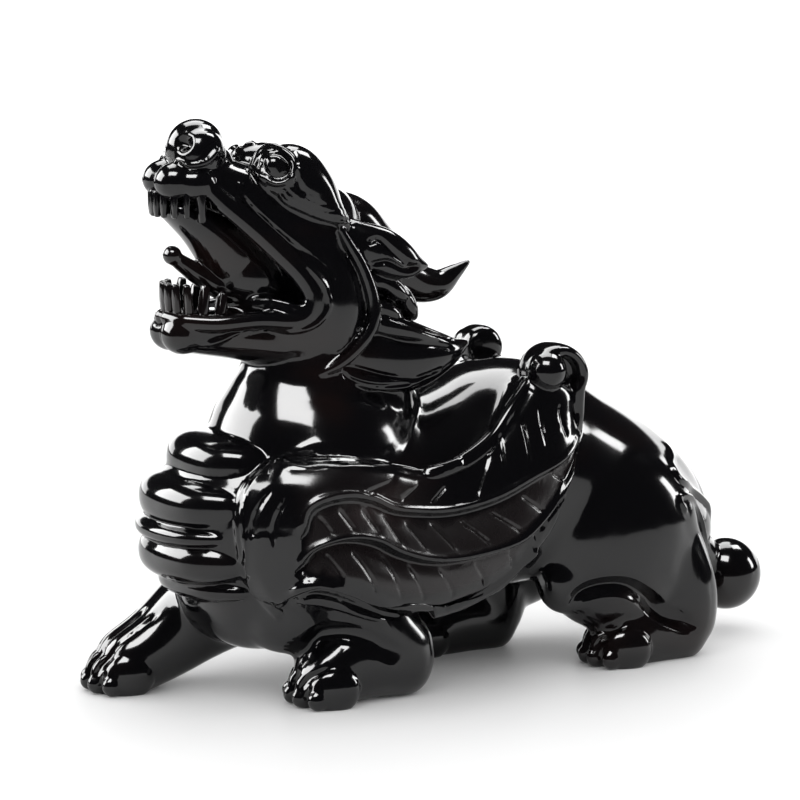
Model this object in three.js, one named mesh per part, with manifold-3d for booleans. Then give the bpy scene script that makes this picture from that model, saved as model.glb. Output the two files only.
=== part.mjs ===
// A carved stone pixiu: a winged guardian beast with a raised head, crouching on four paws.
// The figure faces -X, its left side is -Y, and +Z is up. The origin is the bottom centre of
// its bounding box. The pose, proportions and carving are shares of the figure's own length: each
// station below is multiplied by SHARE, one part in 151.4 of that length.
import * as THREE from "three";
import { mergeVertices } from "three/addons/utils/BufferGeometryUtils.js";
import { LoftGeometry } from "three/addons/geometries/LoftGeometry.js";
import { SimplifyModifier } from "three/addons/modifiers/SimplifyModifier.js";
import Module from "manifold-3d";

const FIGURE_LENGTH = 150;          // far fore paw to tail ball, mm
const SHARE = FIGURE_LENGTH / 151.4;
const WING_LIFT = 1.5;              // how far each row of feathers stands off the body
const RIM_WIDTH = 1.5;              // raised rim along the edge of a row of feathers
const RIDGE_RADIUS = 0.8;           // raised lines over the rump and round the cheek
const BARB_RADIUS = 0.55;           // engraved strokes across the feathers
const NEAR_SCROLL_RADIUS = 7.3;     // rolled tip of the left wing
const FAR_SCROLL_RADIUS = 4.9;      // rolled tip of the right wing
const SCROLL_THICKNESS = 9;
const MOST_CORNERS = 4700;          // the joined solid is thinned to this many corners

const STONE_COLOUR = 0x08080a;
const STONE_ROUGHNESS = 0.08;

const SIDES = [-1, 1];              // left side first
const ACROSS = new THREE.Vector3(0, 1, 0);
const UPWARD = new THREE.Vector3(0, 0, 1);

const wasm = await Module();
wasm.setup();

// Shape helpers

// A closed body for joining and cutting, from any three.js geometry
function body(geometry) {
  const plain = new THREE.BufferGeometry().copy(geometry);
  plain.deleteAttribute("normal");
  plain.deleteAttribute("uv");
  const welded = mergeVertices(plain, 1e-3);
  const corners = welded.getIndex().array;
  const kept = [];
  for (let i = 0; i < corners.length; i += 3) {
    const [a, b, c] = [corners[i], corners[i + 1], corners[i + 2]];
    if (a !== b && b !== c && c !== a) kept.push(a, b, c);
  }
  const mesh = new wasm.Mesh({
    numProp: 3,
    vertProperties: new Float32Array(welded.getAttribute("position").array),
    triVerts: new Uint32Array(kept),
  });
  return new wasm.Manifold(mesh);
}

// All the bodies of a list joined into one
function joined(bodies) {
  return bodies.reduce((whole, next) => whole.add(next));
}

function smoothCurve(points) {
  return new THREE.CatmullRomCurve3(points, false, "catmullrom");
}

// A smooth limb through stations of [x, y, z, half width, half depth]
function limb(stations, settings = {}) {
  const { around = 12, along = 3, across = ACROSS, square = 2, cap = 0.7 } = settings;
  const centres = smoothCurve(stations.map(s => new THREE.Vector3(s[0], s[1], s[2]).multiplyScalar(SHARE)));
  const sizes = smoothCurve(stations.map(s => new THREE.Vector3(s[3], s[4], 0).multiplyScalar(SHARE)));
  const steps = (stations.length - 1) * along;
  const rings = [];

  const ring = (centre, tangent, wide, deep) => {
    const sideways = across.clone().addScaledVector(tangent, -across.dot(tangent)).normalize();
    const outward = new THREE.Vector3().crossVectors(tangent, sideways);
    const points = [];
    for (let k = 0; k < around; k += 1) {
      const angle = (2 * Math.PI * k) / around;
      const c = Math.cos(angle);
      const s = Math.sin(angle);
      const u = wide * Math.sign(c) * Math.abs(c) ** (2 / square);
      const v = deep * Math.sign(s) * Math.abs(s) ** (2 / square);
      points.push(centre.clone().addScaledVector(sideways, u).addScaledVector(outward, v));
    }
    rings.push(points);
  };

  const capRings = (at, direction, order) => {
    const centre = centres.getPoint(at);
    const tangent = centres.getTangent(at);
    const size = sizes.getPoint(at);
    const reach = cap * Math.min(size.x, size.y);
    for (const turn of order) {
      const shift = direction * reach * Math.sin(turn);
      const share = Math.cos(turn);
      ring(centre.clone().addScaledVector(tangent, shift), tangent, size.x * share, size.y * share);
    }
  };

  const turns = [0.42, 0.84, 1.2].map(share => share * (Math.PI / 2) * 0.8);
  capRings(0, -1, [...turns].reverse());
  for (let i = 0; i <= steps; i += 1) {
    const at = i / steps;
    const size = sizes.getPoint(at);
    ring(centres.getPoint(at), centres.getTangent(at), size.x, size.y);
  }
  capRings(1, 1, turns);
  return body(new LoftGeometry(rings, { closed: true, capStart: true, capEnd: true }));
}

// An egg with its own half sizes, pitched in the side view and then turned about the vertical
function egg(place, halfSizes, settings = {}) {
  const { pitch = 0, turn = 0, roll = 0, around = 14, rows = 10 } = settings;
  const geometry = new THREE.SphereGeometry(1, around, rows);
  geometry.scale(...halfSizes);
  geometry.rotateX(roll);
  geometry.rotateY(pitch);
  geometry.rotateZ(turn);
  geometry.translate(...place);
  geometry.scale(SHARE, SHARE, SHARE);
  return body(geometry);
}

// Body and chest

function torso(grow = 0) {
  const stations = [
    [-50, 0, 36, 14, 13],
    [-42, 0, 37, 19, 18],
    [-30, 0, 38, 22, 21],
    [-14, 0, 36.5, 22.5, 20],
    [1, 0, 38, 22, 22.5],
    [14, 0, 39.5, 21, 24.5],
    [28, 0, 35.5, 20, 21],
    [40, 0, 30, 19, 18],
    [51, 0, 23, 16, 13.5],
  ].map(([x, y, z, wide, deep]) => [x, y, z, wide + grow, deep + grow]);
  return limb(stations, { around: 24, along: 2, cap: 0.8 });
}

function neck() {
  return limb([
    [-29, 0, 42, 17, 18],
    [-29, 0, 54, 16, 18.5],
    [-29, 0, 65, 13.5, 16.5],
    [-28, 0, 75, 12, 12.5],
  ], { around: 18, along: 2 });
}

// One roll of the chest: a tube round the front from side to side
function chestRoll(front, level, reach, halfHeight, halfDepth, droop) {
  const stations = [];
  const spread = 1.25;              // how far round each side it runs, in radians
  const count = 9;
  for (let i = 0; i < count; i += 1) {
    const angle = spread * ((2 * i) / (count - 1) - 1);
    const thin = 0.3 + 0.7 * Math.cos(angle) ** 0.7;
    const x = front + halfDepth + reach[0] * (1 - Math.cos(angle));
    const y = reach[1] * Math.sin(angle);
    const z = level + droop * (1 - Math.cos(angle));
    stations.push([x, y, z, halfHeight * thin, halfDepth * thin]);
  }
  return limb(stations, { around: 10, along: 1, across: UPWARD, cap: 0.6 });
}

function chest() {
  return joined([
    egg([-42, 0, 36], [21, 20, 18], { around: 20, rows: 14 }),
    egg([-42, 0, 22.5], [16.5, 17.5, 14], { around: 16, rows: 10 }),
    chestRoll(-51.5, 57, [16, 14], 2.8, 6, 3),
    chestRoll(-60.5, 47.8, [20, 17], 5.3, 8, 4),
    chestRoll(-66.5, 41, [23, 19.5], 5.1, 8, 3),
    chestRoll(-67.5, 35.4, [23, 20.5], 2.4, 7, 2),
    chestRoll(-66.5, 29.8, [23, 20.5], 4.2, 7, 0),
    chestRoll(-62.5, 24.3, [22, 19], 2.6, 6, -1),
  ]);
}

function shoulder(side, grow = 0) {
  return egg([-33, 16.5 * side, 35], [18 + grow, 9 + grow, 19 + grow],
    { around: 18, rows: 12, pitch: -0.25, turn: -0.2 * side });
}

// Head

// The cheeks are cut away between the jaws by a wedge that ends at the mouth corners
function skull() {
  const wedge = new THREE.Shape();
  wedge.moveTo(-37.5, 79);
  wedge.quadraticCurveTo(-36, 81, -37.5, 83);
  wedge.lineTo(-62, 104);
  wedge.lineTo(-62, 76);
  const gap = new THREE.ExtrudeGeometry(wedge, { depth: 60, bevelEnabled: false, curveSegments: 4 });
  gap.rotateX(Math.PI / 2);
  gap.translate(0, 30, 0);
  gap.scale(SHARE, SHARE, SHARE);
  return joined([
    egg([-33, 0, 91], [11, 12, 14], { around: 18, rows: 14, pitch: -0.5 }),
    egg([-35.5, 0, 80], [13, 13, 15.5], { around: 20, rows: 14 }),
  ]).subtract(body(gap));
}

function upperJaw() {
  return limb([
    [-30, 0, 90, 11.5, 13],
    [-38, 0, 94.5, 11, 12],
    [-46, 0, 98.5, 10, 9],
    [-52, 0, 102, 8.4, 6.8],
    [-58, 0, 104, 7.4, 5],
  ], { around: 16, along: 2, square: 2.5 });
}

function lowerJaw() {
  return limb([
    [-28, 0, 73, 11.5, 9],
    [-37, 0, 72.5, 10.8, 7],
    [-47, 0, 73, 9.2, 5],
    [-58.5, 0, 74.6, 7.4, 4.4],
  ], { around: 14, along: 2, square: 2.3 });
}

function nose() {
  const parts = [egg([-55, 0, 111.6], [5.4, 4.6, 5.4], { around: 12, rows: 10 })];
  for (const side of SIDES) {
    parts.push(egg([-55, 3.4 * side, 110.6], [4.6, 3.4, 4.4], { around: 10, rows: 8 }));
    parts.push(egg([-59.5, 3.8 * side, 104], [4.6, 4.2, 4], { around: 10, rows: 8 }));
  }
  const nostrils = SIDES.map(side => egg([-56.8, 6.2 * side, 111.4], [1.9, 1.6, 1.9], { around: 10, rows: 6 }));
  return joined(parts).subtract(joined(nostrils));
}

function browAndEye(side) {
  const socket = new THREE.TorusGeometry(2.9, 0.7, 6, 14);
  socket.rotateX(Math.PI / 2);
  socket.rotateZ(0.45 * side);
  socket.translate(-41, 10.4 * side, 106.2);
  socket.scale(SHARE, SHARE, SHARE);
  return joined([
    egg([-36.5, 5.6 * side, 102.5 - (side > 0 ? 1.4 : 0)], [8.6, 6.4, 9], { around: 14, rows: 12 }),
    egg([-40.8, 9.6 * side, 106.2], [2, 1.7, 2], { around: 10, rows: 8 }),
    egg([-32, 9 * side, 96], [5, 4.4, 6.5], { around: 12, rows: 8, pitch: -0.5 }),
    body(socket),
  ]);
}

// The filled throat and the tongue, which rises to a small knob at its tip
function throatAndTongue() {
  return joined([
    egg([-44, 0, 85], [9, 7, 7.5], { around: 12, rows: 10, pitch: 0.5 }),
    limb([[-60.5, 0, 97.8, 5, 2.8], [-54, 0, 94, 6, 4.5], [-47, 0, 88, 6.5, 7]], { around: 12, along: 2 }),
    limb([
      [-44, 0, 81, 5.5, 3],
      [-51, 0, 81.5, 4.6, 2.4],
      [-56, 0, 84, 2.6, 1.7],
      [-59.6, 0, 87.4, 1.2, 1.1],
    ], { around: 10, along: 2 }),
    egg([-60.2, 0, 88.6], [1.7, 1.7, 1.7], { around: 8, rows: 6 }),
  ]);
}

// The fold of lip that runs back from the fang, turns at the mouth corner and comes forward again
function lipFold(side) {
  return limb([
    [-58, 6.6, 102.5, 1.5, 1.8],
    [-52, 8.4, 98.5, 1.6, 2.0],
    [-45, 10.2, 91.5, 1.6, 2.2],
    [-38.5, 11.6, 84.5, 1.6, 2.2],
    [-35, 12, 79, 1.6, 2.0],
    [-37, 11.6, 74.5, 1.6, 1.8],
    [-46, 9.6, 73.8, 1.5, 1.7],
    [-54, 8, 75, 1.4, 1.6],
    [-60, 4.6, 77, 1.2, 1.4],
  ].map(([x, y, z, wide, deep]) => [x, y * side, z, wide, deep]), { around: 8, along: 2 });
}

// Teeth hang from the front of the upper lip and stand on the front of the lower one
function teeth() {
  const parts = [];
  const tooth = (x, y, root, tip, wide) => parts.push(
    limb([[x, y, root, wide, wide], [x, y, (root + tip) / 2, wide, wide], [x, y, tip, wide * 0.45, wide * 0.4]],
      { around: 6, along: 1, cap: 0.5 }));
  for (const side of SIDES) {
    tooth(-61.5, 1.25 * side, 102, 98, 1.5);
    tooth(-60.5, 4.4 * side, 102, 98, 1.5);
    tooth(-57, 6.2 * side, 102, 96.5, 1.7);
    tooth(-60.5, 1.4 * side, 77, 83, 1.6);
    tooth(-58.6, 4.4 * side, 77, 83, 1.6);
    tooth(-54.6, 5.6 * side, 76, 82.4, 1.7);
    tooth(-50.4, 6.2 * side, 76, 84.4, 1.8);
  }
  return parts;
}

// Mane, horn and ears

function horn() {
  return limb([
    [-31, 0, 95.5, 6, 5.5],
    [-22, 0, 94, 6, 6.2],
    [-15.5, 0, 88.5, 5, 5.4],
    [-8, 0, 82.4, 3.6, 3.6],
    [-1.5, 0, 80.3, 2.8, 3],
    [6, 0, 84, 0.6, 0.6],
  ], { around: 10, along: 2 });
}

function nape() {
  return limb([
    [-29, 0, 91, 8, 8],
    [-20, 0, 83, 10, 8],
    [-17, 0, 72, 11.5, 8],
    [-17.5, 0, 60, 13, 9],
    [-19, 0, 49, 14, 11],
  ], { around: 16, along: 2 });
}

function ear(side) {
  const blade = limb([
    [-26, 10.5 * side, 94, 2.2, 3],
    [-20.5, 12.8 * side, 90, 2.8, 4.6],
    [-15, 13.4 * side, 87, 2.2, 3.6],
    [-10, 12.4 * side, 86, 0.5, 0.6],
  ], { around: 10, along: 2 });
  const hollow = egg([-18.5, 16.6 * side, 88.6], [5, 1.8, 1.6], { around: 10, rows: 6, pitch: 0.5 });
  return blade.subtract(hollow);
}

function hairCurls(side) {
  const curls = [];
  for (const [x, z, lean] of [[-21, 82.6, 0.2], [-17, 83, 0.5], [-14, 79.5, 0.9]]) {
    curls.push(egg([x, 10.5 * side, z], [4.4, 3, 2.3], { around: 10, rows: 6, pitch: lean }));
  }
  return joined(curls);
}

function maneLock(side) {
  return joined([
    limb([
      [-32, 9 * side, 70, 4, 6],
      [-22, 11 * side, 69.5, 4.2, 8],
      [-13, 11.5 * side, 68, 3.6, 7],
      [-5, 11 * side, 68, 2.6, 4],
      [1.5, 9.5 * side, 69.5, 0.6, 0.7],
    ], { around: 12, along: 2 }),
    limb([
      [-24, 10 * side, 76, 3, 4],
      [-15, 11 * side, 75, 3, 4],
      [-8, 11 * side, 71.5, 1, 1.4],
    ], { around: 10, along: 2 }),
  ]);
}

// Legs

// The right foreleg reaches forward, the left one lies folded back on its elbow
function foreLeg(side) {
  if (side > 0) {
    return limb([
      [-38, 11, 20, 10, 12],
      [-49, 12, 14.5, 9, 10],
      [-58, 12.5, 8.8, 8, 8],
      [-66.5, 12.5, 5, 7.4, 6.8],
    ], { around: 16, along: 2, square: 2.4 });
  }
  return joined([
    egg([-41, -11, 18.5], [10, 9, 9], { around: 14, rows: 10 }),
    limb([
      [-34, -14, 26, 9, 11],
      [-25, -16, 15, 8, 9],
      [-18, -17, 8, 7, 8],
    ], { around: 14, along: 2 }),
    limb([
      [-16.5, -17, 6.5, 6.6, 7.4],
      [-26, -17.5, 8.5, 7, 8.4],
      [-33, -17, 6.5, 6.8, 7.4],
      [-37.5, -16.8, 4.5, 6.6, 6],
    ], { around: 16, along: 2, square: 2.3 }),
  ]);
}

function haunch(side) {
  const x = side > 0 ? 24 : 34;
  return egg([x, 14 * side, 27], [18.5, 9.5, 18.5], { around: 18, rows: 14 });
}

// The right hind leg is drawn forward under the belly, the left one trails
function hindLeg(side) {
  const shift = side > 0 ? -31 : 0;
  const inward = side > 0 ? 4 : 0;
  return joined([
    haunch(side),
    limb([
      [41 + shift, 14 * side, 24, 9, 15],
      [30 + shift, 16 * side, 20.5, 8.5, 11],
      [18.5 + shift, (16.5 - inward) * side, 17.6, 6.5, 5.6],
    ], { around: 14, along: 2 }),
    limb([
      [45 + shift, 13 * side, 24, 8, 9],
      [49.5 + shift, (15 - inward) * side, 14, 7, 7.5],
      [49.5 + shift, (15.5 - inward) * side, 6, 6.6, 6.8],
    ], { around: 14, along: 2 }),
    limb([
      [50 + shift, (15 - inward) * side, 5, 6.4, 6.4],
      [42 + shift, (15.2 - inward) * side, 6, 6.4, 7.4],
      [36 + shift, (15.2 - inward) * side, 5, 6.4, 6.8],
      [32 + shift, (15.2 - inward) * side, 4, 6.2, 5.8],
    ], { around: 16, along: 2, square: 2.4 }),
  ]);
}

// Wings

// The blade of the wing, which carries the feathers up to the scroll
function wingRoot(side, grow = 0) {
  const stations = [
    [-36, 17, 33, 8.5, 13],
    [-22, 17.5, 30.5, 8.5, 12.5],
    [-8, 17.5, 32, 8, 12.5],
    [4, 17, 40, 7, 11.5],
    [12, 16, 51, 6, 9],
    [16.5, 15, 59, 4.6, 6.5],
  ];
  const fall = side > 0 ? 0.08 : 0;
  return limb(stations.map(([x, y, z, wide, deep]) =>
    [x, y * side, z - fall * (z - 30), wide + grow, deep + grow]), { around: 18, along: 3 });
}

function wingBody(side, grow) {
  return joined([torso(grow), shoulder(side, grow), wingRoot(side, grow)]);
}

// The edges of the three rows of feathers in the side view, as [x, z], from the front backwards
const TOP_EDGE = [[-43, 49.5], [-30, 49], [-17, 45.2], [-6.5, 46.6], [1, 51], [7, 58.5]];
const SECOND_EDGE = [[-45, 37.5], [-40, 42.4], [-34, 43], [-28, 41.9], [-21, 38.7], [-14.6, 37.1],
  [-5.8, 37.2], [4.3, 40.3], [15.4, 45.8], [22.6, 53]];
const THIRD_EDGE = [[-46, 31.5], [-41, 34.5], [-35, 35.3], [-29.4, 33.5], [-22.5, 30], [-15, 27.6],
  [-5, 27.6], [2.3, 30.1], [9.5, 34.6], [19.3, 43.4], [25, 50]];
const FOURTH_EDGE = [[-46, 29], [-38, 27.2], [-31.6, 25], [-25, 22], [-15, 20.4], [-7.6, 21], [1.4, 23.4],
  [7.7, 28], [15.5, 37], [23, 45]];
const LOWER_EDGE = [[-46, 26], [-39.4, 25.6], [-29.5, 21], [-22.2, 18.4], [-14, 17.6], [-5, 18.6], [4, 20.5]];

function curvePoints(edge, count) {
  const curve = new THREE.CatmullRomCurve3(edge.map(([x, z]) => new THREE.Vector3(x, 0, z)));
  return curve.getPoints(count);
}

// A slab across one side of the body, cut to an outline in the side view
function slab(outline, side) {
  const shape = new THREE.Shape(outline.map(p => new THREE.Vector2(p.x, p.z)));
  const geometry = new THREE.ExtrudeGeometry(shape, { depth: 36, bevelEnabled: false });
  geometry.rotateX(Math.PI / 2);
  geometry.translate(0, side > 0 ? 40 : -4, 0);
  geometry.scale(SHARE, SHARE, SHARE);
  return body(geometry);
}

// One row of feathers: the body's own side, lifted, between two edges
function featherRow(side, upper, lower, lift) {
  const outline = [...curvePoints(upper, 20), ...curvePoints(lower, 20).reverse()];
  return slab(outline, side).intersect(wingBody(side, lift));
}

// A raised rim along one edge of a row
function featherRim(side, edge, lift, width) {
  const middle = curvePoints(edge, 22);
  const above = middle.map(p => new THREE.Vector3(p.x, 0, p.z + width / 2));
  const below = middle.map(p => new THREE.Vector3(p.x, 0, p.z - width / 2));
  return slab([...above, ...below.reverse()], side).intersect(wingBody(side, lift));
}

function wing(side) {
  return joined([
    wingRoot(side),
    featherRow(side, TOP_EDGE, SECOND_EDGE, WING_LIFT * 0.6),
    featherRow(side, SECOND_EDGE, THIRD_EDGE, WING_LIFT),
    featherRow(side, FOURTH_EDGE, LOWER_EDGE, WING_LIFT * 1.2),
    featherRow(side, THIRD_EDGE, FOURTH_EDGE, WING_LIFT * 1.2),
    featherRim(side, SECOND_EDGE, WING_LIFT * 1.8, RIM_WIDTH),
    featherRim(side, THIRD_EDGE, WING_LIFT * 1.8, RIM_WIDTH),
    featherRim(side, FOURTH_EDGE, WING_LIFT * 1.8, RIM_WIDTH * 0.9),
    featherRim(side, TOP_EDGE, WING_LIFT * 1.1, RIM_WIDTH * 0.8),
  ]);
}

// The rolled tip of the wing, with its ball
function wingScroll(side) {
  const radius = side < 0 ? NEAR_SCROLL_RADIUS : FAR_SCROLL_RADIUS;
  const outward = side < 0 ? 15 : 12.5;
  const [x, z] = side < 0 ? [17.2, 61.3] : [15.2, 63.8];
  const face = outward + SCROLL_THICKNESS / 2;
  const roll = new THREE.CylinderGeometry(radius, radius, SCROLL_THICKNESS, 22);
  roll.translate(x, outward * side, z);
  roll.scale(SHARE, SHARE, SHARE);
  const groove = new THREE.TorusGeometry(radius * 0.66, 1.1, 6, 20);
  groove.rotateX(Math.PI / 2);
  groove.translate(x - 1, (face + 0.3) * side, z + 0.8);
  groove.scale(SHARE, SHARE, SHARE);
  const ball = egg([x - 1.6, (face - 2.5) * side, z + 1], [4, 4.4, 4], { around: 12, rows: 10 });
  return body(roll).subtract(body(groove)).add(ball);
}

// Paws and tail

// Four toes across the front of a paw
function toes(x, y, spread) {
  const parts = [];
  for (let i = 0; i < 4; i += 1) {
    const across = (i - 1.5) / 1.5;
    parts.push(egg([x + 1.6 * across * across, y + spread * across, 3.6], [5, 2.3, 4.4],
      { around: 8, rows: 8, turn: 0.2 * across }));
  }
  return joined(parts);
}

function tail() {
  return joined([
    egg([69.5, 0, 12], [7.6, 7.6, 7.8], { around: 16, rows: 12 }),
    limb([[48, 0, 28, 9, 7], [57, 0, 20, 7, 7], [66, 0, 13, 4.4, 4.4]], { around: 12, along: 2 }),
  ]);
}

// Lines carved on the finished forms

// A thin tube that follows the surface of one side under a line of the side view, [x, z]
function surfaceTube(surface, side, line, radius, around = 6) {
  const raycaster = new THREE.Raycaster();
  const inward = new THREE.Vector3(0, -side, 0);
  const stations = [];
  for (const [x, z] of line) {
    raycaster.set(new THREE.Vector3(x, 100 * side, z).multiplyScalar(SHARE), inward);
    const hit = raycaster.intersectObject(surface)[0];
    if (hit) stations.push([x, hit.point.y / SHARE, z, radius, radius]);
  }
  stations[0][3] *= 0.5;
  stations[0][4] *= 0.5;
  stations[stations.length - 1][3] *= 0.5;
  stations[stations.length - 1][4] *= 0.5;
  return limb(stations, { around, along: 1, across: new THREE.Vector3(0.1, 1, 0.1) });
}

// The tail's flame edge and its strand over the rump, and the border of the cheek
const FLAME_LINE = [[43, 47.5], [45, 44.5], [43.6, 41.8], [40.6, 41], [41.2, 38.2], [46, 37.6], [50.5, 36.6],
  [54, 33.5], [56.5, 29.5]];
const STRAND_LINE = [[41, 37.5], [45.6, 34], [49, 29], [51.5, 23.5], [53, 17], [54, 12]];
const CHEEK_LINE = [[-31, 93], [-27, 87.5], [-25, 80], [-26.8, 73.4], [-31.5, 68.6], [-37, 66]];
const LOCK_LINES = [[[-24, 73.3], [-18, 72], [-10, 70.6], [-3, 69.6]], [[-30, 66.4], [-22, 64.4], [-13, 64.2]]];
const SHOULDER_LINE = [[-47, 39.5], [-46.4, 43], [-44.6, 46]];

// Barbs slant across a row of feathers from its upper edge towards its lower one
function barbs(surface, side, upper, lower, count, from, to, slant, radius) {
  const above = new THREE.CatmullRomCurve3(upper.map(([x, z]) => new THREE.Vector3(x, 0, z)));
  const below = new THREE.CatmullRomCurve3(lower.map(([x, z]) => new THREE.Vector3(x, 0, z)));
  const cuts = [];
  for (let i = 0; i < count; i += 1) {
    const at = from + ((to - from) * i) / (count - 1);
    const start = above.getPointAt(at);
    const end = below.getPointAt(Math.min(1, at + slant));
    const line = [0.2, 0.5, 0.8].map(share => {
      const p = start.clone().lerp(end, share);
      return [p.x, p.z];
    });
    cuts.push(surfaceTube(surface, side, line, radius, 5));
  }
  return cuts;
}

// Everything under the flat soles of the paws
function belowSoles() {
  const deep = FIGURE_LENGTH;
  const geometry = new THREE.BoxGeometry(2 * FIGURE_LENGTH, FIGURE_LENGTH, deep);
  return body(geometry.translate(0, 0, -deep / 2));
}

const forms = [torso(), neck(), chest(), skull(), upperJaw(), lowerJaw(), throatAndTongue(), nose(),
  horn(), nape(), tail(), ...teeth(),
  toes(-38.5, -16.6, 4.4), toes(-69.5, 12.5, 4.8), toes(31, -15, 4.2), toes(-1.5, 12, 4.4)];
for (const side of SIDES) {
  forms.push(shoulder(side), browAndEye(side), lipFold(side), ear(side), hairCurls(side), maneLock(side));
  forms.push(wing(side), wingScroll(side), foreLeg(side), hindLeg(side));
}
const plain = joined(forms);
const surface = new THREE.Mesh(geometryOf(plain));
const ridges = [];
const grooves = [];
for (const side of SIDES) {
  ridges.push(surfaceTube(surface, side, FLAME_LINE, RIDGE_RADIUS * 1.5));
  ridges.push(surfaceTube(surface, side, STRAND_LINE, RIDGE_RADIUS * 1.3));
  ridges.push(surfaceTube(surface, side, CHEEK_LINE, RIDGE_RADIUS));
  for (const line of [...LOCK_LINES, SHOULDER_LINE]) {
    grooves.push(surfaceTube(surface, side, line, BARB_RADIUS * 1.3));
  }
  grooves.push(...barbs(surface, side, TOP_EDGE, SECOND_EDGE, 8, 0.3, 0.92, 0.1, BARB_RADIUS));
  grooves.push(...barbs(surface, side, SECOND_EDGE, THIRD_EDGE, 8, 0.12, 0.8, 0.06, BARB_RADIUS));
  grooves.push(...barbs(surface, side, FOURTH_EDGE, LOWER_EDGE, 6, 0.1, 0.6, 0.1, BARB_RADIUS));
}
const figure = joined([plain, ...ridges]).subtract(joined(grooves));

// The finished mesh

function geometryOf(solid) {
  const result = solid.getMesh();
  const geometry = new THREE.BufferGeometry();
  geometry.setAttribute("position", new THREE.BufferAttribute(new Float32Array(result.vertProperties), 3));
  geometry.setIndex(new THREE.BufferAttribute(new Uint32Array(result.triVerts), 1));
  return geometry;
}

// Thins the joined solid, cuts its soles flat and stands it on the middle of its own base
async function finished(solid) {
  const full = geometryOf(solid);
  const surplus = Math.max(0, full.getAttribute("position").count - MOST_CORNERS);
  const thinned = await new SimplifyModifier().modify(full, surplus);
  const geometry = geometryOf(body(thinned).subtract(belowSoles()));
  geometry.computeBoundingBox();
  const { min, max } = geometry.boundingBox;
  geometry.translate(-(min.x + max.x) / 2, -(min.y + max.y) / 2, -min.z);
  return geometry;
}

const stone = new THREE.MeshStandardMaterial({
  color: STONE_COLOUR,
  roughness: STONE_ROUGHNESS,
  metalness: 0,
});
const pixiu = new THREE.Mesh(await finished(figure), stone);
pixiu.name = "pixiu";

const group = new THREE.Group();
group.name = "pixiu_figure";
group.add(pixiu);
export default group;
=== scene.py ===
# A pixiu carved from one block of black obsidian, on a pale table.
# The figure is modelled in carving steps, 151.4 of them from paw to tail, and then brought to metres.
# It faces -X, its left side is -Y, and +Z is up.
import math

import bpy
import numpy as np
from mathutils import Matrix, Vector
from mathutils.bvhtree import BVHTree


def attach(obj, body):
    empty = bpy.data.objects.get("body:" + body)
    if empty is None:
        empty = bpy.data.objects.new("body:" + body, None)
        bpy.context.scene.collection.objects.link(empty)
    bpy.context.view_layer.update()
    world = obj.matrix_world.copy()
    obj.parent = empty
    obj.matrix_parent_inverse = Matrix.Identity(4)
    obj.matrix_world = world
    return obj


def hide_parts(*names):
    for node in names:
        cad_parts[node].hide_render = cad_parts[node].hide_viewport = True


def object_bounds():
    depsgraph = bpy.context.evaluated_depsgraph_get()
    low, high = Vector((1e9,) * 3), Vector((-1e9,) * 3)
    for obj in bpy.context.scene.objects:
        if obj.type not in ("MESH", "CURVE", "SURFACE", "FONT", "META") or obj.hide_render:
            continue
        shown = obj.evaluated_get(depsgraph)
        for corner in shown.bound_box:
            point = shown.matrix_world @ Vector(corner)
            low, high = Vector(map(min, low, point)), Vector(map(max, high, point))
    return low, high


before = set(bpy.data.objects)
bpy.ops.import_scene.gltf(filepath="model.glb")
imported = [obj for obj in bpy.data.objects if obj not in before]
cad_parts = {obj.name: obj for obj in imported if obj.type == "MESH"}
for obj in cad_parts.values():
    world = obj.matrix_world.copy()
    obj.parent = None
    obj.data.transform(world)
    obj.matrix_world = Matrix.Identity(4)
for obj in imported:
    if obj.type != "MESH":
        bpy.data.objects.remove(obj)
cad_low, cad_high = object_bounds()

STEPS_LONG = 151.4                 # carving steps from the right fore paw to the tail ball
STEP = (cad_high.x - cad_low.x) / STEPS_LONG
MIDDLE = 1.4                       # carving step over the middle of the base
SIDES = (-1, 1)                    # left side first

BODY_GRAIN = 0.9                   # voxel of the large forms
GRAIN = 0.28    # voxel of the joined figure
HEAD_GRAIN = GRAIN * 1.3
FORM_ROUNDS = 14                   # rounds of smoothing of the body and the skull before they are joined
JOINT_ROUNDS = 9   # and of the joined figure, before it is carved
EDGE_ROUNDS = 3    # and after it is carved
MOST_TRIANGLES = 190000

# By side of the figure, the left one first
STRIDE = {-1: 0, 1: -31}           # where the hind leg stands, from the place of the left one
FALL = {-1: 0, 1: 0.08}            # how far the wing hangs lower, a share of its height over WING_LEVEL
WING_LEVEL = 30

WING_LIFT = 1.5                    # how far the wing stands off the body along its top
FOOT_LIFT = 1.6                    # how much further along its lower edge
CREST = 1.7                        # how much further over the shoulder, under the front of its top
RIM = 1.1                          # half width of the rim of a row of feathers
LINE = 0.5                         # half width of a fine carved line

THINNEST = 0.15                    # least half width of a ring of a limb
CAP_TURNS = [0.3, 0.58, 0.8, 0.94]   # rings of a limb's rounded end, as shares of a quarter turn


# Shaping by hand

def deselect():
    bpy.ops.object.select_all(action="DESELECT")


def chosen(*pieces):
    """Selects these pieces alone, with the first one active"""
    deselect()
    for piece in pieces:
        piece.select_set(True)
    bpy.context.view_layer.objects.active = pieces[0]


def opened():
    """Goes into edit mode with the whole mesh selected"""
    bpy.ops.object.mode_set(mode="EDIT")
    bpy.ops.mesh.select_all(action="SELECT")


def closed():
    bpy.ops.object.mode_set(mode="OBJECT")


def turned(angles, centre=(0, 0, 0)):
    """Turns what is selected in edit mode about X, then Y, then Z"""
    for axis, angle in zip("XYZ", angles):
        if abs(angle) > 1e-7:
            bpy.ops.transform.rotate(value=-angle, orient_axis=axis, center_override=centre)


def named(name):
    piece = bpy.context.object
    piece.name = name
    return piece


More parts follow.
